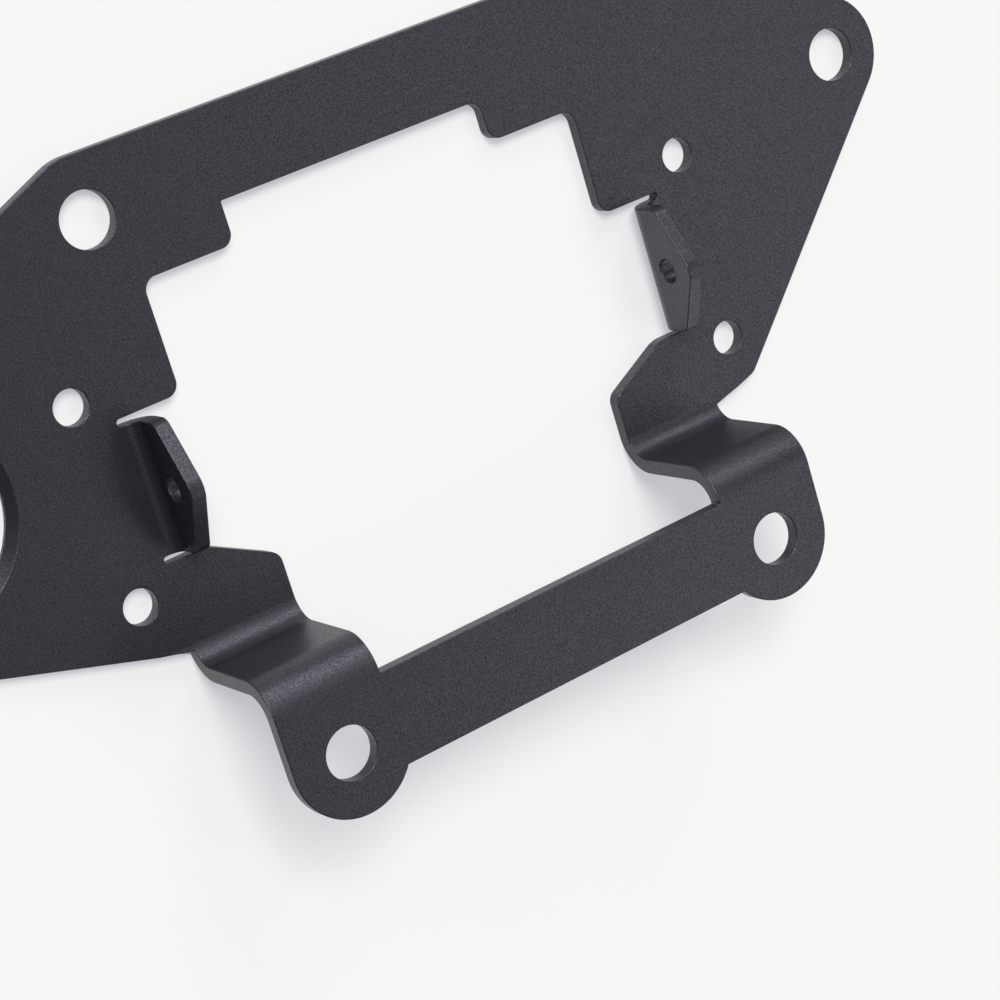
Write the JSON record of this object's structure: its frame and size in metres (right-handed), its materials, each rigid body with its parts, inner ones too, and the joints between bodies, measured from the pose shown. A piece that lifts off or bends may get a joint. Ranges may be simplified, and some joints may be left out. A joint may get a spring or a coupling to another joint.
{
  "type": "dashboard display mount",
  "caption": "Folded sheet bracket with a stepped window, drilled ears beside it and raised arms joined by a cross bar, for holding a motorcycle's dashboard display.",
  "frame": {"origin": "on the back face of the main plate, midway between the two lower fixing holes, on the middle line of the window", "axes": "+X to the right seen from the front, along the row of fixing holes; +Y up the plate, from the cross bar to the top edge; +Z out of the front face, the way the ears and arms are folded"},
  "size_m": [0.1856, 0.092, 0.0214],
  "materials": {
    "powder_coat": "matt black powder coat with a fine even texture"
  },
  "bodies": {
    "root": {"mount_bracket": "powder_coat"}
  },
  "joints": []
}
